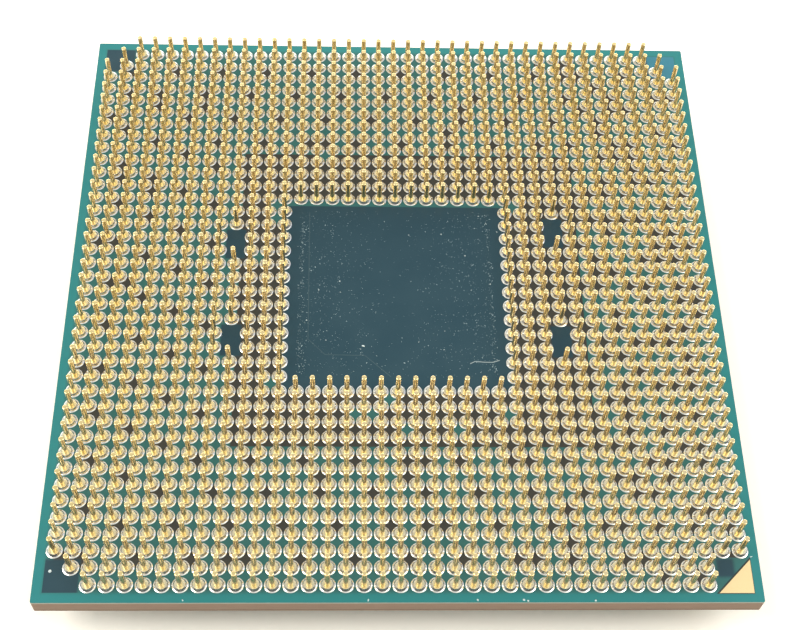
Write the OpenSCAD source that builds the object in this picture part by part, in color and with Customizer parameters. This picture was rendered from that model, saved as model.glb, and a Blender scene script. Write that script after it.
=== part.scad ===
// Pin-grid computer processor, lying on its heat spreader with the pins up.
// X runs along the pin rows, Y runs from the front row to the back row,
// and Z runs up from the heat spreader's outer face, which is at zero.

/* [Substrate] */
// Side of the square laminate
substrate_side = 40; // [37:1:44]
// Thickness of the laminate
substrate_t = 1.2; // [0.8:0.05:1.6]
// Rounding of its four corners
substrate_corner_r = 0.1; // [0.05:0.05:0.8]

/* [Pin grid] */
// Distance between neighbouring pins
pin_pitch = 1; // [1:0.05:1.3]
// Least distance from an outer pin to the edge of the laminate
edge_margin = 1; // [0.8:0.05:1.6]
// Pins left out across the bare land in the middle
land_pins = 13; // [9:2:15]
// Steps from the middle column to the two key columns
key_column = 10; // [8:1:13]
// Steps from the middle row to the first pin of a key gap
key_start = 3; // [2:1:5]
// Pins left out in a key gap
key_length = 2; // [1:1:3]
// Further steps out of the key gap at the back right
key_stagger = 1; // [0:1:2]

/* [Pin] */
// Diameter of the shaft
pin_d = 0.3; // [0.24:0.01:0.36]
// Height of a pin's tip above the laminate
pin_length = 1.75; // [1.2:0.05:2.5]
// Radius of the round edge of the tip
tip_r = 0.03; // [0.02:0.01:0.1]
// Thickness of the nail head
head_t = 0.16; // [0.1:0.01:0.2]
// Bevel of the head's upper rim
head_bevel = 0.02; // [0.01:0.01:0.04]

/* [Solder joint] */
// Laminate left free between neighbouring joints
joint_gap = 0.08; // [0.04:0.01:0.2]
// Spread of the solder fillet round the nail head
fillet_w = 0.14; // [0.08:0.01:0.16]
// Thickness of the solder under a nail head
joint_t = 0.04; // [0.03:0.01:0.06]

/* [Heat spreader] */
// Laminate left bare round the heat spreader
lid_border = 1.3; // [1:0.1:2]
// Overall height of the heat spreader
lid_h = 2.9; // [2.5:0.1:3.6]
// Width of the step round the raised face
flange_w = 1.9; // [1.4:0.1:2.2]
// Height of the raised face above the step
plateau_h = 1.3; // [1:0.1:1.5]
// Rounding of the step's corners
flange_corner_r = 2.6; // [2:0.1:4]
// Rounding of the raised face's corners
plateau_corner_r = 1.8; // [1:0.1:3]
// Bevel round the raised face and the step
lid_bevel = 0.2; // [0.1:0.05:0.3]
// Width of the foot that is glued to the laminate
foot_w = 3; // [2.6:0.1:3.6]
// Thickness of the glue line under the foot
sealant_t = 0.1; // [0.06:0.02:0.2]
// Width of the vent left open in the glue line
vent_w = 3; // [1.5:0.5:5]

/* [Die] */
// Length of the silicon die
die_l = 22; // [16:0.5:24]
// Width of the silicon die
die_w = 9.7; // [7:0.1:12]
// Thickness of the silicon die
die_t = 0.78; // [0.5:0.02:0.9]
// Height of the bumps that the underfill surrounds
bump_h = 0.08; // [0.05:0.01:0.12]
// Spread of the underfill's skirt round the die
skirt_w = 0.9; // [0.5:0.1:1.2]
// Thickness of the thermal solder under the lid
thermal_t = 0.2; // [0.1:0.02:0.3]

/* [Capacitors] */
// Length of a chip capacitor
cap_l = 1; // [0.6:0.1:1.6]
// Width of a chip capacitor
cap_w = 0.5; // [0.3:0.05:0.8]
// Height of a chip capacitor
cap_t = 0.5; // [0.3:0.02:0.5]
// Length of each metal end
cap_end = 0.22; // [0.15:0.01:0.25]
// Rows of capacitors on each long side of the die
cap_rows = 2; // [1:1:3]
// Free space round each capacitor
cap_gap = 0.9; // [0.6:0.1:1.2]

/* [Index mark] */
// Distance of the gold triangle from the laminate's edges
mark_inset = 0.52; // [0.4:0.02:0.7]
// Distance of the triangle's ends from the nearest joint or lid corner
mark_gap = 0.07; // [0.04:0.01:0.3]
// Thickness of the plated copper
mark_t = 0.02; // [0.01:0.01:0.04]

/* [Hidden] */
$fn = 72;

// Levels, from the table up
substrate_z = lid_h + sealant_t;
pin_z = substrate_z + substrate_t;
die_z = substrate_z - bump_h - die_t;
roof_z = die_z - thermal_t;

// Plan sizes of the heat spreader
flange_side = substrate_side - 2 * lid_border;
plateau_side = flange_side - 2 * flange_w;
cavity_side = flange_side - 2 * foot_w;
cavity_corner_r = 1;

// Pins are counted in whole steps from the middle of the grid
grid_half = floor((substrate_side / 2 - edge_margin) / pin_pitch + 0.001);
land_half = (land_pins - 1) / 2;
corner_steps = 1;

// Neighbouring rows share a node, and the bands count from the front
band_count = 13;
bands = [1:band_count];
grid_rows = 2 * grid_half + 1;
function first_row(band) = floor((band - 1) * grid_rows / band_count);
function last_row(band) = first_row(band + 1) - 1;
function band_name(kind, band) = str(kind, "_band_", band);

// Sizes of a joint, and the round edges that are drawn in short steps
joint_d = pin_pitch - joint_gap;
head_d = joint_d - 2 * fillet_w;
joint_edge = 0.02;
wetted_z = joint_t + head_t - head_bevel;
tip_angles = [0, 45, 90];
fillet_angles = [0, 30, 60, 90];

// The triangle fills the corner that the left-out pins leave free
mark_corner = substrate_side / 2 - mark_inset;
corner_free = substrate_side / 2 - (grid_half - 2) * pin_pitch - joint_d / 2;
mark_leg = corner_free - mark_inset - mark_gap;
lid_corner = flange_side / 2 - flange_corner_r * (1 - cos(45));
lid_mark_leg = min(mark_leg, 2 * (mark_corner - lid_corner - mark_gap));

// Which places of the grid hold a pin, in steps i along X and j along Y
function from_edge(i) = grid_half - abs(i);
function in_land(i, j) = max(abs(i), abs(j)) <= land_half;
function in_index_corner(i, j) =
    i > 0 && j < 0 && max(from_edge(i), from_edge(j)) <= corner_steps;
function in_corner(i, j) =
    from_edge(i) + from_edge(j) <= corner_steps || in_index_corner(i, j);
function key_offset(i, j) = key_start + (i > 0 && j > 0 ? key_stagger : 0);
function in_key(i, j) =
    abs(i) == key_column
        && abs(j) >= key_offset(i, j)
        && abs(j) < key_offset(i, j) + key_length;
function has_pin(i, j) = !in_land(i, j) && !in_corner(i, j) && !in_key(i, j);

// Places its child at every pin of a band of rows
module at_pins(band) {
    for (row = [first_row(band):last_row(band)])
        for (i = [-grid_half:grid_half])
            if (has_pin(i, row - grid_half))
                translate([i * pin_pitch, (row - grid_half) * pin_pitch, pin_z])
                    children();
}

// One pin, turned from its axis: a nail head, the shaft and its round tip
module pin() {
    head_z = joint_t + head_t;
    head = [
        [0, joint_t],
        [head_d / 2, joint_t],
        [head_d / 2, wetted_z],
        [head_d / 2 - head_bevel, head_z],
        [pin_d / 2, head_z]
    ];
    tip = [for (a = tip_angles) [pin_d / 2 - tip_r * (1 - cos(a)), pin_length - tip_r * (1 - sin(a))]];
    rotate_extrude()
        polygon(concat(head, tip, [[0, pin_length]]));
}

// The solder under one head, which climbs its side in a hollow fillet
module solder_joint() {
    foot = [[0, 0], [joint_d / 2, 0]];
    fillet = [for (a = fillet_angles)
        [joint_d / 2 - fillet_w * sin(a), joint_edge + (wetted_z - joint_edge) * (1 - cos(a))]];
    seat = [[head_d / 2, joint_t], [0, joint_t]];
    rotate_extrude()
        polygon(concat(foot, fillet, seat));
}

module pin_band(band) {
    color("goldenrod")
        at_pins(band)
            pin();
}

module solder_band(band) {
    color("gainsboro")
        at_pins(band)
            solder_joint();
}

// A square plate with round corners, and a bevel round its lower face
module plate(side, corner_r, h, bevel = 0) {
    straight = side / 2 - corner_r;
    half_profile = [[side / 2 - bevel, 0], [side / 2, bevel], [side / 2, h]];
    profile = concat(half_profile, [for (k = [2:-1:0]) [-half_profile[k][0], half_profile[k][1]]]);
    rounded_profile = [[0, 0], [corner_r - bevel, 0], [corner_r, bevel], [corner_r, h], [0, h]];
    union() {
        rotate([90, 0, 0])
            linear_extrude(2 * straight, center = true)
                polygon(profile);
        rotate([90, 0, 90])
            linear_extrude(2 * straight, center = true)
                polygon(profile);
        for (x = [-straight, straight])
            for (y = [-straight, straight])
                translate([x, y, 0])
                    rotate_extrude()
                        polygon(rounded_profile);
    }
}

module substrate() {
    color("teal")
        translate([0, 0, substrate_z])
            plate(substrate_side, substrate_corner_r, substrate_t);
}

// A gold triangle with its right angle in the index corner
module index_mark(leg) {
    color("khaki")
        linear_extrude(mark_t)
            polygon([
                [mark_corner, -mark_corner],
                [mark_corner, leg - mark_corner],
                [mark_corner - leg, -mark_corner]
            ]);
}

module pin_side_index_mark() {
    translate([0, 0, pin_z])
        index_mark(mark_leg);
}

module lid_side_index_mark() {
    translate([0, 0, substrate_z - mark_t])
        index_mark(lid_mark_leg);
}

// The lid: a raised outer face, a step round it, and a cavity for the die
module heat_spreader() {
    color("silver")
        difference() {
            union() {
                plate(plateau_side, plateau_corner_r, lid_h, lid_bevel);
                translate([0, 0, plateau_h])
                    plate(flange_side, flange_corner_r, lid_h - plateau_h, lid_bevel);
            }
            translate([0, 0, roof_z])
                plate(cavity_side, cavity_corner_r, lid_h);
        }
}

// The glue line under the lid's foot, with a vent left open at the back
module lid_sealant() {
    color("dimgray")
        translate([0, 0, lid_h])
            difference() {
                plate(flange_side, flange_corner_r, sealant_t);
                translate([0, 0, -sealant_t])
                    plate(cavity_side, cavity_corner_r, 3 * sealant_t);
                translate([-vent_w / 2, 0, -sealant_t])
                    cube([vent_w, substrate_side, 3 * sealant_t]);
            }
}

// A box that is centred in plan and stands on the given level
module slab(l, w, z, h) {
    translate([-l / 2, -w / 2, z])
        cube([l, w, h]);
}

module processor_die() {
    color("slategray")
        slab(die_l, die_w, die_z, die_t);
}

// A bar with sloping sides that widens towards the laminate
module sloping_bar(width, length, z, h) {
    translate([0, 0, z])
        rotate([90, 0, 0])
            linear_extrude(length, center = true)
                polygon([
                    [-width / 2, 0],
                    [width / 2, 0],
                    [width / 2 + skirt_w, h],
                    [-width / 2 - skirt_w, h]
                ]);
}

// The resin between die and laminate, with a skirt that climbs half of the die's edge
module die_underfill() {
    h = bump_h + die_t / 2;
    z = substrate_z - h;
    color("saddlebrown")
        difference() {
            intersection() {
                sloping_bar(die_l, die_w + 4 * skirt_w, z, h);
                rotate([0, 0, 90])
                    sloping_bar(die_w, die_l + 4 * skirt_w, z, h);
            }
            slab(die_l, die_w, die_z, die_t);
        }
}

module thermal_solder() {
    color("lightgray")
        slab(die_l, die_w, roof_z, thermal_t);
}

// Places its child at every chip capacitor, in rows on both long sides of the die
module at_capacitors() {
    step = cap_l + cap_gap;
    per_row = floor(die_l / step);
    first_y = die_w / 2 + skirt_w + cap_gap;
    for (side = [-1, 1])
        for (row = [0:cap_rows - 1])
            for (k = [0:per_row - 1])
                translate([
                    (k - (per_row - 1) / 2) * step,
                    side * (first_y + row * (cap_w + cap_gap)),
                    substrate_z - cap_t
                ])
                    children();
}

module capacitor_bodies() {
    color("peru")
        at_capacitors()
            slab(cap_l - 2 * cap_end, cap_w, 0, cap_t);
}

module capacitor_ends() {
    color("gainsboro")
        at_capacitors()
            for (side = [-1, 1])
                translate([side * (cap_l - cap_end) / 2, 0, 0])
                    slab(cap_end, cap_w, 0, cap_t);
}

substrate();
pin_side_index_mark();
lid_side_index_mark();
for (band = bands) solder_band(band);
for (band = bands) pin_band(band);
heat_spreader();
lid_sealant();
processor_die();
die_underfill();
thermal_solder();
capacitor_bodies();
capacitor_ends();
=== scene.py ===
import math
import random

import bpy
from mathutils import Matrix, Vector


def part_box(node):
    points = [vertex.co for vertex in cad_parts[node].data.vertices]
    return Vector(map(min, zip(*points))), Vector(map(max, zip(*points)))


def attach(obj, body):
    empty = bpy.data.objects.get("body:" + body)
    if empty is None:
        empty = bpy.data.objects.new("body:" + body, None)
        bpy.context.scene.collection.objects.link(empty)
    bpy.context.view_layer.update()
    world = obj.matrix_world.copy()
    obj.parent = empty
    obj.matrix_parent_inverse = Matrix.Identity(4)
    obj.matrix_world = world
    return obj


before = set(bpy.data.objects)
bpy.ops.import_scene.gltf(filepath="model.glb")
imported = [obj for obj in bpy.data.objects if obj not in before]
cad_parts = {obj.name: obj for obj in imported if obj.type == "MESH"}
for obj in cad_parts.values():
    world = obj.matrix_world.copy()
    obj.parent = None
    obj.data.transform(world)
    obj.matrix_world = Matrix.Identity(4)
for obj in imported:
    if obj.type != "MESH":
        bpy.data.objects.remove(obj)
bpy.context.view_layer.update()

# Sizes and places below are in millimetres where nothing else is said; the scene itself is in metres
MM = 0.001

# The laminate and the pin grid, as the solids have them; the grid is counted in pitches
BOARD_LOW, BOARD_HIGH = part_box("substrate")
BOARD_TOP = BOARD_HIGH[2] / MM
BOARD_BOTTOM = BOARD_LOW[2] / MM
BOARD_HALF = BOARD_HIGH[0] / MM
PITCH = 1.0
GRID_HALF = 19
LAST_CELL = GRID_HALF - 0.5

# A pin's head: a height just above it, and where the tin at its rim begins and is full
HEAD_HEIGHT = 0.21
RIM_FROM = 0.23
RIM_TO = 0.30

# Finishes: the part of a noise that counts, the depth and gloss of grain, brushing, and dull shafts
NOISE_LOW = 0.3
NOISE_HIGH = 0.7
GRAIN_DEPTH = 0.02
GLOSS_SPREAD = 0.07
BRUSHED = (0.15, 4.0, 4.0)
SHAFT_METALLIC = 0.82

# The laminate's sawn edge: the widths of its two lines, and how flat its glass layers lie
PALE_LINE = 0.14
DARK_LINE = 0.16
LAYER_STRETCH = 14.0

# The mask is painted lighter along the edges of the laminate, outside the pins, and darker among them as
# painted shade of the pins; it is bluer in the corner at the back right
MARGIN_FROM = BOARD_HALF - 0.7
MARGIN_TO = BOARD_HALF - 0.4
BLUE_CORNER = 15.0

# Cells between the pads without copper: most of those round the land, a lattice and strays
CELL_SEED = 3.0
RING_MIDDLE = (0.9, 0.0)
RING_HALF = (10.6, 10.6)
RING_SHARE = 0.88
STRAYS_SPAN = (2.0, 19.0)
STRAYS_LEFT = 0.97
STRAYS_RIGHT = 0.72
LAND_BACK_HALF = 8.0
LAND_BACK_ROW = 6.0

# Patches without copper under the mask: the land, the corners and the key gaps
LAND_MIDDLE = (0.0, -0.27)
LAND_HALF = (7.0, 6.73)
CORNER_FROM = GRID_HALF - 1.6
CORNER_TO = GRID_HALF + 0.42
CORNER_SOFT = 0.2
INDEX_PATCH_MIDDLE = (18.05, -18.0)
INDEX_PATCH_HALF = (0.50, 0.55)
INDEX_PATCH_SOFT = 0.15
KEY_PATCHES = ((-10.0, 3.5), (-10.0, -3.5), (10.0, 4.5), (10.0, -3.5))
KEY_HALF = (0.62, 1.1)
KEY_SOFT = 0.08

# Painted shadow round the gold triangle, at the edge of the mask's opening, whose corner and long side
# come from its solid
MARK_LOW, MARK_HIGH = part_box("pin_side_index_mark")
INDEX_CORNER = MARK_HIGH[0] / MM
INDEX_SLOPE = (MARK_LOW[0] - MARK_LOW[1]) / MM
INDEX_SHADOW_WIDTH = 0.13
INDEX_LAP = 0.05
INDEX_LINE = 0.03

# Lint by place and size, and the places where the lines on the land bend
LINT = (
    (2.90, 4.36, 0.05), (4.35, 2.73, 0.06), (6.44, 4.57, 0.06), (5.31, 5.78, 0.05),
    (0.85, 4.28, 0.04), (-3.48, 0.77, 0.05), (-4.76, 0.11, 0.05), (-3.44, -0.03, 0.05),
    (-5.48, -2.06, 0.06), (2.91, -2.78, 0.05), (-4.28, -3.46, 0.05), (1.32, -3.56, 0.04),
    (2.83, -4.09, 0.04), (4.64, 0.18, 0.04), (5.84, 0.63, 0.05), (-2.03, -3.85, 0.13),
    (-19.11, -18.17, 0.11), (19.58, -17.35, 0.09), (4.19, -19.86, 0.10), (6.73, -19.85, 0.10),
    (-1.77, -19.86, 0.11), (6.95, -19.90, 0.07), (10.65, -19.90, 0.07), (-11.81, -19.86, 0.07),
)
TRACE = ((-5.42, 5.98), (-5.36, -3.39), (-4.32, -4.47), (-1.93, -4.52), (-0.38, -5.98))
SCRATCH = ((4.37, -5.05), (4.67, -4.89), (5.20, -4.94), (5.73, -4.95), (6.15, -4.81))
TRACE_WIDTH = 0.06
SCRATCH_WIDTH = 0.05
LINE_HEIGHT = 0.003

# Random flecks: how many, the range of their sizes, and the range of their breadth for their length
DUST_SEED = 11
FINE_FLECKS = (1900, (0.014, 0.048), (0.12, 0.45))
FRAME_FLECKS = (220, (0.016, 0.060), (0.15, 0.5))
COARSE_FLECKS = (70, (0.04, 0.07), (0.15, 0.5))
DUST_HALF = 6.0
DUST_ROWS = (-6.0, 6.1)
FRAME_OF_DUST = 5.85
FRAME_SPREAD = 0.10
FRAME_ROWS = (-5.8, 5.9)
SIDE_CROWDING = 0.6

# A fleck's form: its corners, their reach and its height for its size, and its top for its foot
FLECK_CORNERS = 5
FLECK_REACH = (0.7, 1.1)
FLECK_HEIGHT = 0.2
FLECK_TOP = 0.7

# The camera stands in front of the board and looks down on it, turned by degrees
CAMERA_PLACE = (-3.07, -47.67, 78.90)
CAMERA_TURN = (31.64, -2.01, -0.82)
CAMERA_LENS = 64.78
SENSOR_WIDTH = 36.0

# Half the side of the table in metres, wide enough to reach past the picture from any side
FLOOR_HALF = 3.0


# Short calls for shader nodes

class Nodes:
    """A node tree under construction, with one short call for each kind of node it uses."""

    def __init__(self, tree):
        self.tree = tree
        tree.nodes.clear()

    def add(self, kind, inputs, **settings):
        node = self.tree.nodes.new(kind)
        for key, value in settings.items():
            setattr(node, key, value)
        for key, value in inputs.items():
            if isinstance(value, bpy.types.NodeSocket):
                self.tree.links.new(value, node.inputs[key])
            else:
                node.inputs[key].default_value = value
        return node

    def math(self, operation, a, b=0.0, c=0.0):
        return self.add("ShaderNodeMath", {0: a, 1: b, 2: c}, operation=operation).outputs[0]

    def plus(self, a, b):
        return self.math("ADD", a, b)

    def minus(self, a, b):
        return self.math("SUBTRACT", a, b)

    def times(self, a, b):
        return self.math("MULTIPLY", a, b)

    def absolute(self, a):
        return self.math("ABSOLUTE", a)

    def both(self, a, b):
        """One where two masks are one."""
        return self.times(a, b)

    def either(self, a, b):
        """One where at least one of two masks is one; of two sizes, the larger."""
        return self.math("MAXIMUM", a, b)

    def opposite(self, a):
        """One where a mask is zero, and zero where it is one."""
        return self.minus(1.0, a)

    def above(self, a, level):
        return self.math("GREATER_THAN", a, level)

    def below(self, a, level):
        return self.math("LESS_THAN", a, level)

    def step(self, value, low, high, to_low=0.0, to_high=1.0):
        """A soft step from one value to another, while the given value goes from low to high."""
        inputs = {"Value": value, "From Min": low, "From Max": high, "To Min": to_low, "To Max": to_high}
        node = self.add("ShaderNodeMapRange", inputs, interpolation_type="SMOOTHSTEP")
        return node.outputs["Result"]

    def fall(self, value, low, high):
        return self.step(value, low, high, 1.0, 0.0)

    def vary(self, noise, least, most):
        """A value that follows a noise, from least to most."""
        return self.step(noise, NOISE_LOW, NOISE_HIGH, least, most)

    def scaled(self, vector, factor):
        node = self.add("ShaderNodeVectorMath", {0: vector, "Scale": factor}, operation="SCALE")
        return node.outputs["Vector"]

    def vector(self, x=0.0, y=0.0, z=0.0):
        return self.add("ShaderNodeCombineXYZ", {"X": x, "Y": y, "Z": z}).outputs["Vector"]

    def split(self, vector):
        return self.add("ShaderNodeSeparateXYZ", {"Vector": vector}).outputs

    def noise(self, vector, scale, detail=2.0):
        inputs = {"Vector": vector, "Scale": scale, "Detail": detail}
        return self.add("ShaderNodeTexNoise", inputs).outputs["Fac"]

    def random(self, vector):
        return self.add("ShaderNodeTexWhiteNoise", {"Vector": vector}).outputs

    def mix(self, factor, a, b):
        colours = {key: value if isinstance(value, bpy.types.NodeSocket) else (*value, 1.0)
                   for key, value in (("Color1", a), ("Color2", b))}
        return self.add("ShaderNodeMixRGB", {"Fac": factor, **colours}).outputs["Color"]

    def mix_value(self, factor, a, b):
        return self.plus(self.times(self.opposite(factor), a), self.times(factor, b))

    def bump(self, height, strength, depth=GRAIN_DEPTH):
        inputs = {"Height": height, "Strength": strength, "Distance": MM * depth}
        return self.add("ShaderNodeBump", inputs).outputs["Normal"]

    def surface(self, inputs):
        shader = self.add("ShaderNodeBsdfPrincipled", inputs)
        self.add("ShaderNodeOutputMaterial", {"Surface": shader.outputs["BSDF"]})


def new_material(name):
    """A material without nodes, and the short calls to fill it."""
    material = bpy.data.materials.new(name)
    material.use_nodes = True
    return material, Nodes(material.node_tree)


def place_in_mm(nodes):
    """The place of a point on its object, in millimetres."""
    place = nodes.add("ShaderNodeTexCoord", {}).outputs["Object"]
    return nodes.scaled(place, 1.0 / MM)


def nearest_pin(nodes, place):
    """The grid place of the nearest pin, the same all over one pin."""
    axes = nodes.split(nodes.scaled(place, 1.0 / PITCH))
    return nodes.vector(nodes.math("ROUND", axes["X"]), nodes.math("ROUND", axes["Y"]))


# Materials

def gold_pin_material():
    """Gold that differs from pin to pin: dull drawn shafts, smooth tips, heads tinned at the rim. Painted
    light and shade as well: faces that point up are painted lighter, upright faces darker, and the heads
    paler.
    """
    material, nodes = new_material("gold_pins")
    place = place_in_mm(nodes)
    pin = nearest_pin(nodes, place)
    chance = nodes.random(pin)["Value"]
    axes = nodes.split(place)
    from_axis = nodes.add("ShaderNodeVectorMath", {0: place, 1: pin}, operation="SUBTRACT")
    sideways = nodes.split(from_axis.outputs["Vector"])
    squares = [nodes.times(sideways[axis], sideways[axis]) for axis in "XY"]
    radius = nodes.math("SQRT", nodes.plus(*squares))
    upright = nodes.split(nodes.add("ShaderNodeNewGeometry", {}).outputs["Normal"])["Z"]
    flat = nodes.step(upright, 0.5, 0.8)
    on_head = nodes.below(axes["Z"], BOARD_TOP + HEAD_HEIGHT)
    grain = nodes.noise(place, scale=5.0)

    # Painted light and shade: upright shaft faces get a darker copy of the gold, upward faces a lighter
    # copy, and the heads a paler copy
    shaded_shaft_gold = nodes.mix(chance, (0.78, 0.58, 0.26), (0.80, 0.62, 0.32))
    lit_tip_gold = nodes.mix(chance, (0.94, 0.75, 0.37), (0.95, 0.78, 0.43))
    head = nodes.mix(chance, (0.83, 0.73, 0.42), (0.83, 0.77, 0.53))
    head = nodes.mix(nodes.step(radius, RIM_FROM, RIM_TO), head, (0.84, 0.79, 0.66))
    # Painted light and shade by facing: lighter where a face points up, darker where it stands upright
    plain = nodes.mix(flat, shaded_shaft_gold, lit_tip_gold)
    dull = nodes.mix_value(on_head, nodes.times(nodes.opposite(flat), 0.06), 0.11)
    nodes.surface({
        "Base Color": nodes.mix(on_head, plain, head),
        "Metallic": nodes.mix_value(nodes.either(flat, on_head), SHAFT_METALLIC, 1.0),
        "Roughness": nodes.plus(dull, nodes.vary(grain, 0.13, 0.19)),
        "Normal": nodes.bump(grain, strength=0.008),
    })
    return material


def solder_material():
    """Bright tin with a slightly uneven skin."""
    material, nodes = new_material("solder")
    grain = nodes.noise(place_in_mm(nodes), scale=5.0)
    nodes.surface({
        "Base Color": nodes.mix(grain, (0.76, 0.76, 0.73), (0.86, 0.85, 0.82)),
        "Metallic": 1.0,
        "Roughness": nodes.vary(grain, 0.18, 0.26),
        "Normal": nodes.bump(grain, strength=0.12),
    })
    return material


def box_mask(nodes, axes, middle, half, soft=0.02):
    """One inside a rectangle on the laminate, with edges as soft as told."""
    sides = []
    for axis, centre, reach in zip("XY", middle, half):
        off = nodes.absolute(nodes.minus(axes[axis], centre))
        sides.append(nodes.fall(off, reach - soft, reach + soft))
    return nodes.both(*sides)


def every(nodes, value, period, offset=0.0):
    """One where a whole number is a multiple of the period, counted from the offset."""
    remainder = nodes.math("FLOORED_MODULO", nodes.plus(value, offset), period)
    return nodes.below(remainder, 0.5)


def lattice(nodes, along, depth):
    """Every third cell of every second line from the edge, set one cell on from line to line."""
    shift = nodes.math("FLOOR", nodes.times(depth, 0.5))
    third = every(nodes, nodes.plus(along, shift), period=3.0)
    return nodes.both(every(nodes, depth, period=2.0, offset=1.0), third)


def bare_cells(nodes, place):
    """Where the copper under the mask is cut away: a mask over the cells between the pads."""
    axes = nodes.split(nodes.scaled(place, 1.0 / PITCH))
    i = nodes.math("FLOOR", axes["X"])
    j = nodes.math("FLOOR", axes["Y"])
    off_x = nodes.absolute(nodes.plus(i, 0.5))
    off_y = nodes.absolute(nodes.plus(j, 0.5))
    outward = nodes.either(off_x, off_y)
    depth = nodes.minus(LAST_CELL, outward)
    sideways = nodes.above(off_x, off_y)
    across = lattice(nodes, i, depth)
    down = lattice(nodes, j, depth)
    pattern = nodes.mix_value(sideways, across, down)
    chance = nodes.random(nodes.vector(i, j, CELL_SEED))["Value"]
    strays = nodes.above(chance, nodes.step(axes["X"], *STRAYS_SPAN, STRAYS_LEFT, STRAYS_RIGHT))
    ring = nodes.both(box_mask(nodes, axes, RING_MIDDLE, RING_HALF), nodes.below(chance, RING_SHARE))
    in_back_row = nodes.math("COMPARE", j, LAND_BACK_ROW, 0.5)
    land_back = nodes.both(nodes.below(off_x, LAND_BACK_HALF), in_back_row)
    index_corner = nodes.both(nodes.above(axes["X"], CORNER_FROM), nodes.below(axes["Y"], -CORNER_FROM))
    teal = nodes.either(nodes.either(land_back, index_corner), nodes.above(outward, GRID_HALF))
    dark = nodes.either(nodes.either(pattern, ring), strays)
    return nodes.both(dark, nodes.opposite(teal))


def bare_patches(nodes, axes, outward, inward):
    """Where whole patches of the laminate have no copper: the land, the corners, the key gaps."""
    patch = box_mask(nodes, axes, LAND_MIDDLE, LAND_HALF)
    far_in = nodes.step(inward, CORNER_FROM, CORNER_FROM + CORNER_SOFT)
    corners = nodes.both(far_in, nodes.below(outward, CORNER_TO))
    index_corner = nodes.both(nodes.above(axes["X"], 0.0), nodes.below(axes["Y"], 0.0))
    patch = nodes.either(patch, nodes.both(corners, nodes.opposite(index_corner)))
    index_patch = box_mask(nodes, axes, INDEX_PATCH_MIDDLE, INDEX_PATCH_HALF, INDEX_PATCH_SOFT)
    patch = nodes.either(patch, index_patch)
    for middle in KEY_PATCHES:
        patch = nodes.either(patch, box_mask(nodes, axes, middle, KEY_HALF, KEY_SOFT))
    return patch


def index_painted_shadow(nodes, axes):
    """Painted shadow round the gold triangle, at the edge of the mask's opening, widest along its long
    side.
    """
    slope = nodes.minus(axes["X"], axes["Y"])
    past_shadow_edge = nodes.above(slope, INDEX_SLOPE - INDEX_SHADOW_WIDTH)
    reach = nodes.either(axes["X"], nodes.times(axes["Y"], -1.0))
    inside = nodes.both(nodes.below(reach, INDEX_CORNER + INDEX_LINE), past_shadow_edge)
    long_side = nodes.both(inside, nodes.below(slope, INDEX_SLOPE + INDEX_LAP))
    short_sides = nodes.both(inside, nodes.above(reach, INDEX_CORNER - INDEX_LINE))
    return nodes.either(long_side, short_sides)


def sawn_edge(nodes, axes):
    """The laminate's cut sides: tan glass layers between a pale upper and a dark lower line."""
    flattened = nodes.vector(axes["X"], axes["Y"], nodes.times(axes["Z"], LAYER_STRETCH))
    layers = nodes.noise(flattened, scale=1.0, detail=3.0)
    tan = nodes.mix(layers, (0.30, 0.20, 0.14), (0.42, 0.30, 0.22))
    tan = nodes.mix(nodes.above(axes["Z"], BOARD_TOP - PALE_LINE), tan, (0.52, 0.50, 0.42))
    return nodes.mix(nodes.below(axes["Z"], BOARD_BOTTOM + DARK_LINE), tan, (0.25, 0.16, 0.11))


def solder_mask_material():
    """Teal mask, painted darker among the pins for their shade and lighter at the margin, dark where the
    copper under it is cut away, slate on bare patches, and the sawn edge.
    """
    material, nodes = new_material("solder_mask")
    place = place_in_mm(nodes)
    axes = nodes.split(place)
    off_x = nodes.absolute(axes["X"])
    off_y = nodes.absolute(axes["Y"])
    outward = nodes.either(off_x, off_y)
    inward = nodes.math("MINIMUM", off_x, off_y)

    cloud = nodes.noise(place, scale=0.6, detail=3.0)
    # Painted shade: the mask among the pins is a darker teal than at the margin, for the shade the pins
    # cast
    teal = nodes.mix(cloud, (0.019, 0.120, 0.116), (0.026, 0.145, 0.140))
    margin = nodes.step(outward, MARGIN_FROM, MARGIN_TO)
    mask = nodes.mix(margin, teal, (0.012, 0.200, 0.208))
    mask = nodes.mix(bare_cells(nodes, place), mask, (0.036, 0.036, 0.030))
    slate = nodes.mix(cloud, (0.006, 0.041, 0.063), (0.010, 0.050, 0.073))
    blue = nodes.both(nodes.above(axes["X"], BLUE_CORNER), nodes.above(axes["Y"], BLUE_CORNER))
    slate = nodes.mix(blue, slate, (0.030, 0.190, 0.270))
    mask = nodes.mix(bare_patches(nodes, axes, outward, inward), mask, slate)
    # Painted shadow along the edge of the mask's opening round the gold triangle
    mask = nodes.mix(index_painted_shadow(nodes, axes), mask, (0.018, 0.024, 0.022))

    upright = nodes.split(nodes.add("ShaderNodeNewGeometry", {}).outputs["Normal"])["Z"]
    sawn = nodes.below(nodes.absolute(upright), 0.5)
    nodes.surface({
        "Base Color": nodes.mix(sawn, mask, sawn_edge(nodes, axes)),
        "Roughness": nodes.either(nodes.times(sawn, 0.8), nodes.vary(cloud, 0.36, 0.46)),
        "Specular IOR Level": 0.42,
        "Normal": nodes.bump(nodes.noise(place, scale=4.0), strength=0.06),
    })
    return material


def gold_mark_material():
    """The matt gold plate of the index marks."""
    material, nodes = new_material("gold_mark")
    grain = nodes.noise(place_in_mm(nodes), scale=12.0, detail=4.0)
    nodes.surface({
        "Base Color": nodes.mix(grain, (0.82, 0.61, 0.31), (0.86, 0.67, 0.39)),
        "Metallic": 1.0,
        "Roughness": nodes.vary(grain, 0.38, 0.50),
        "Normal": nodes.bump(grain, strength=0.2),
    })
    return material


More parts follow.
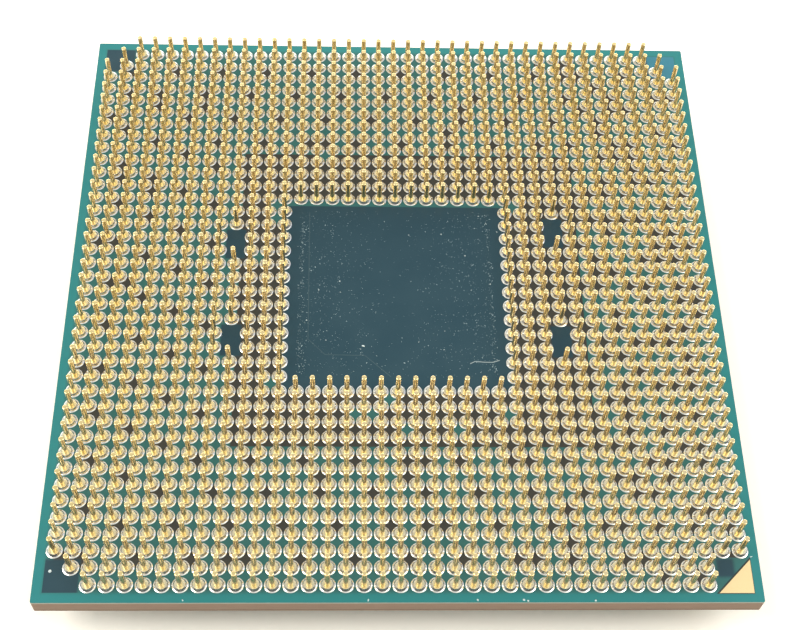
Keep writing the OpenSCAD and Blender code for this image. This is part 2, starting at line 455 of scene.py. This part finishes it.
def grained_material(name, dark, light, scale, roughness, metallic=0.0, stretch=(1.0, 1.0, 1.0)):
    """A plain finish whose colour, gloss and surface vary with a fine grain."""
    material, nodes = new_material(name)
    axes = nodes.split(place_in_mm(nodes))
    place = nodes.vector(*(nodes.times(axes[axis], factor) for axis, factor in zip("XYZ", stretch)))
    grain = nodes.noise(place, scale, detail=4.0)
    nodes.surface({
        "Base Color": nodes.mix(grain, dark, light),
        "Metallic": metallic,
        "Roughness": nodes.step(grain, 0.25, 0.75, roughness - GLOSS_SPREAD, roughness + GLOSS_SPREAD),
        "Normal": nodes.bump(grain, strength=0.15, depth=0.03),
    })
    return material


def dust_material():
    """Pale fluff, lighter and darker in patches a few specks wide."""
    material, nodes = new_material("dust")
    place = place_in_mm(nodes)
    lightness = nodes.step(nodes.noise(place, scale=2.5), 0.35, 0.68)
    nodes.surface({
        "Base Color": nodes.mix(lightness, (0.05, 0.10, 0.12), (0.62, 0.78, 0.82)),
        "Roughness": nodes.step(lightness, 0.0, 1.0, 0.8, 0.9),
        "Normal": nodes.bump(nodes.noise(place, scale=30.0), strength=0.2, depth=0.01),
    })
    return material


def node_materials():
    """A finish for each solid, by the start of its name."""
    return {
        "pin_band": gold_pin_material(),
        "solder_band": solder_material(),
        "substrate": solder_mask_material(),
        "pin_side_index_mark": gold_mark_material(),
        "lid_side_index_mark": gold_mark_material(),
        "heat_spreader": grained_material(
            "nickel", (0.52, 0.51, 0.48), (0.66, 0.65, 0.62),
            scale=3.0, roughness=0.33, metallic=1.0, stretch=BRUSHED),
        "lid_sealant": grained_material(
            "sealant", (0.02, 0.02, 0.022), (0.05, 0.05, 0.052), scale=4.0, roughness=0.7),
        "processor_die": grained_material(
            "silicon", (0.05, 0.055, 0.07), (0.09, 0.095, 0.11), scale=1.5, roughness=0.2),
        "die_underfill": grained_material(
            "underfill", (0.03, 0.018, 0.01), (0.06, 0.035, 0.02), scale=3.0, roughness=0.5),
        "thermal_solder": grained_material(
            "thermal_solder", (0.5, 0.5, 0.5), (0.65, 0.65, 0.64), scale=3.0, roughness=0.4, metallic=1.0),
        "capacitor_bodies": grained_material(
            "ceramic", (0.25, 0.16, 0.09), (0.35, 0.24, 0.14), scale=6.0, roughness=0.6),
        "capacitor_ends": grained_material(
            "tin", (0.6, 0.6, 0.58), (0.75, 0.75, 0.73), scale=6.0, roughness=0.35, metallic=1.0),
    }


def dress_solids():
    """Gives each solid the finish for its name."""
    finishes = node_materials()
    for name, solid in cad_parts.items():
        finish = next(finishes[key] for key in finishes if name.startswith(key))
        solid.data.materials.clear()
        solid.data.materials.append(finish)


# Dust and lines on the mask

def raised_outline(outline, height, taper):
    """Points and faces of a flat-topped flake that stands on the laminate."""
    count = len(outline)
    middle = [sum(point[axis] for point in outline) / count for axis in (0, 1)]
    foot = [(x, y, BOARD_TOP) for x, y in outline]
    top = [(middle[0] + taper * (x - middle[0]), middle[1] + taper * (y - middle[1]), BOARD_TOP + height)
           for x, y in outline]
    sides = [(k, (k + 1) % count, count + (k + 1) % count, count + k) for k in range(count)]
    return foot + top, sides + [tuple(range(count, 2 * count))]


def lay_pieces(name, shapes, finish):
    """One object of many small shapes, given by their points in millimetres and their faces."""
    points, faces = [], []
    for own_points, own_faces in shapes:
        start = len(points)
        points += [[MM * value for value in point] for point in own_points]
        faces += [[start + corner for corner in face] for face in own_faces]
    mesh = bpy.data.meshes.new(name)
    mesh.from_pydata(points, [], faces)
    mesh.materials.append(finish)
    piece = bpy.data.objects.new(name, mesh)
    bpy.context.collection.objects.link(piece)
    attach(piece, "root")


def speck(chance, x, y, size, slim=0.4, broad=1.0):
    """An uneven flake, often longer one way than the other."""
    turn = chance.uniform(0.0, math.pi)
    stretch = chance.uniform(slim, broad)
    outline = []
    for k in range(FLECK_CORNERS):
        angle = 2.0 * math.pi * k / FLECK_CORNERS
        reach = size * chance.uniform(*FLECK_REACH)
        u, v = reach * math.cos(angle), stretch * reach * math.sin(angle)
        outline.append((x + u * math.cos(turn) - v * math.sin(turn),
                        y + u * math.sin(turn) + v * math.cos(turn)))
    return raised_outline(outline, FLECK_HEIGHT * size, FLECK_TOP)


def ribbon(points, width, height):
    """A line of even width, mitred where it bends."""
    left, right = [], []
    for k, point in enumerate(points):
        before = Vector(points[max(k - 1, 0)])
        after = Vector(points[min(k + 1, len(points) - 1)])
        along = (after - before).normalized()
        across = Vector((-along.y, along.x)) * width / 2
        left.append(tuple(Vector(point) + across))
        right.append(tuple(Vector(point) - across))
    shapes = []
    for k in range(len(points) - 1):
        shapes.append(raised_outline([left[k], right[k], right[k + 1], left[k + 1]], height, 1.0))
    return shapes


def land_place(chance):
    """A random place on the land, more often towards its left and right sides."""
    x = DUST_HALF * chance.choice((-1.0, 1.0)) * chance.random() ** SIDE_CROWDING
    return x, chance.uniform(*DUST_ROWS)


def land_flecks(chance, kind):
    """Random flecks of one kind, scattered over the land."""
    count, sizes, breadths = kind
    return [speck(chance, *land_place(chance), chance.uniform(*sizes), *breadths) for _ in range(count)]


def frame_flecks(chance, side, kind):
    """Random flecks of one kind, in a line along the left or the right side of the land."""
    count, sizes, breadths = kind
    flecks = []
    for _ in range(count):
        x = side * FRAME_OF_DUST + chance.gauss(0.0, FRAME_SPREAD)
        flecks.append(speck(chance, x, chance.uniform(*FRAME_ROWS), chance.uniform(*sizes), *breadths))
    return flecks


def make_dust():
    """Lint where the photo has it, random flecks, a scratch and the rise over a buried trace."""
    chance = random.Random(DUST_SEED)
    lint = grained_material("lint", (0.50, 0.62, 0.63), (0.86, 0.92, 0.92), scale=20.0, roughness=0.85)
    lay_pieces("lint", [speck(chance, *mark) for mark in LINT], lint)
    specks = land_flecks(chance, FINE_FLECKS)
    for side in (-1.0, 1.0):
        specks += frame_flecks(chance, side, FRAME_FLECKS)
    specks += land_flecks(chance, COARSE_FLECKS)
    lay_pieces("dust", specks, dust_material())
    rubbed = grained_material(
        "rubbed_mask", (0.22, 0.28, 0.30), (0.40, 0.47, 0.48), scale=9.0, roughness=0.6)
    lay_pieces("scratch", ribbon(SCRATCH, SCRATCH_WIDTH, LINE_HEIGHT), rubbed)
    risen = grained_material(
        "mask_over_trace", (0.024, 0.062, 0.080), (0.032, 0.076, 0.094), scale=2.0, roughness=0.35)
    lay_pieces("buried_trace", ribbon(TRACE, TRACE_WIDTH, LINE_HEIGHT), risen)


# Floor, light and camera

def make_floor():
    """A white table, overexposed where the camera sees it, with the object's shadow."""
    half = FLOOR_HALF
    mesh = bpy.data.meshes.new("floor")
    corners = [(-half, -half, 0.0), (half, -half, 0.0), (half, half, 0.0), (-half, half, 0.0)]
    mesh.from_pydata(corners, [], [(0, 1, 2, 3)])
    floor = bpy.data.objects.new("floor", mesh)
    bpy.context.collection.objects.link(floor)
    material, nodes = new_material("white_table")
    grain = nodes.noise(place_in_mm(nodes), scale=0.05)
    table = nodes.mix(grain, (0.90, 0.87, 0.84), (0.93, 0.90, 0.87))
    ray = nodes.add("ShaderNodeLightPath", {}).outputs
    mirrored = nodes.either(ray["Is Glossy Ray"], ray["Is Transmission Ray"])
    seen = nodes.either(ray["Is Camera Ray"], mirrored)
    nodes.surface({"Base Color": nodes.mix(seen, table, (1.30, 1.20, 1.12)), "Roughness": 0.8})
    mesh.materials.append(material)


def make_world():
    """A pale room: a bright wall behind, a skylight on the right, a dim right side, a dark front."""
    world = bpy.data.worlds.new("studio")
    bpy.context.scene.world = world
    world.use_nodes = True
    nodes = Nodes(world.node_tree)
    way = nodes.split(nodes.add("ShaderNodeTexCoord", {}).outputs["Generated"])
    ceiling = nodes.mix(nodes.step(way["X"], -0.3, 0.3), (0.78, 0.76, 0.65), (0.73, 0.76, 0.87))
    ceiling = nodes.mix(nodes.step(way["Y"], 0.50, 0.80), ceiling, (1.22, 1.19, 1.04))
    ceiling = nodes.mix(nodes.fall(way["Y"], -0.50, -0.15), ceiling, (1.02, 1.00, 0.94))
    skylight = nodes.both(nodes.step(way["X"], 0.05, 0.20), nodes.fall(way["Y"], 0.05, 0.35))
    ceiling = nodes.mix(skylight, ceiling, (1.25, 1.25, 1.10))
    sides = nodes.mix(nodes.step(way["X"], -0.6, 0.6), (0.78, 0.78, 0.77), (0.32, 0.32, 0.32))
    room = nodes.mix(nodes.step(way["Z"], 0.5, 0.75), sides, ceiling)
    low = nodes.fall(way["Z"], 0.35, 0.90)
    front = nodes.fall(way["Y"], -0.6, -0.1)
    room = nodes.mix(nodes.both(low, front), room, (0.14, 0.13, 0.12))
    wall = nodes.both(nodes.fall(way["Z"], 0.05, 0.62), nodes.step(way["Y"], 0.2, 0.6))
    colour = nodes.mix(wall, room, (4.8, 4.8, 4.4))
    background = nodes.add("ShaderNodeBackground", {"Color": colour, "Strength": 1.0})
    nodes.add("ShaderNodeOutputWorld", {"Surface": background.outputs["Background"]})


def make_lamp(name, place, size, power, colour):
    """A softbox that faces the object, with its place and size in metres."""
    lamp = bpy.data.lights.new(name, "AREA")
    lamp.shape = "RECTANGLE"
    lamp.size, lamp.size_y = size
    lamp.energy = power
    lamp.color = colour
    holder = bpy.data.objects.new(name, lamp)
    holder.location = place
    holder.rotation_euler = (-Vector(place)).to_track_quat("-Z", "Y").to_euler()
    bpy.context.collection.objects.link(holder)


def make_camera():
    """The camera that was fitted to the photo."""
    camera = bpy.data.cameras.new("camera")
    camera.sensor_fit = "HORIZONTAL"
    camera.sensor_width = SENSOR_WIDTH
    camera.lens = CAMERA_LENS
    camera.clip_start = MM
    holder = bpy.data.objects.new("camera", camera)
    holder.location = [MM * value for value in CAMERA_PLACE]
    holder.rotation_euler = [math.radians(value) for value in CAMERA_TURN]
    bpy.context.collection.objects.link(holder)
    bpy.context.scene.camera = holder


dress_solids()
make_dust()
make_floor()
make_world()
make_lamp("left_lamp", place=(-0.34, -0.02, 0.51), size=(0.32, 0.26), power=1.38, colour=(1.0, 0.98, 0.93))
make_lamp("right_lamp", place=(0.36, -0.01, 0.50), size=(0.34, 0.28), power=0.95, colour=(0.95, 1.0, 0.98))
make_camera()
bpy.context.scene.view_settings.view_transform = "Standard"
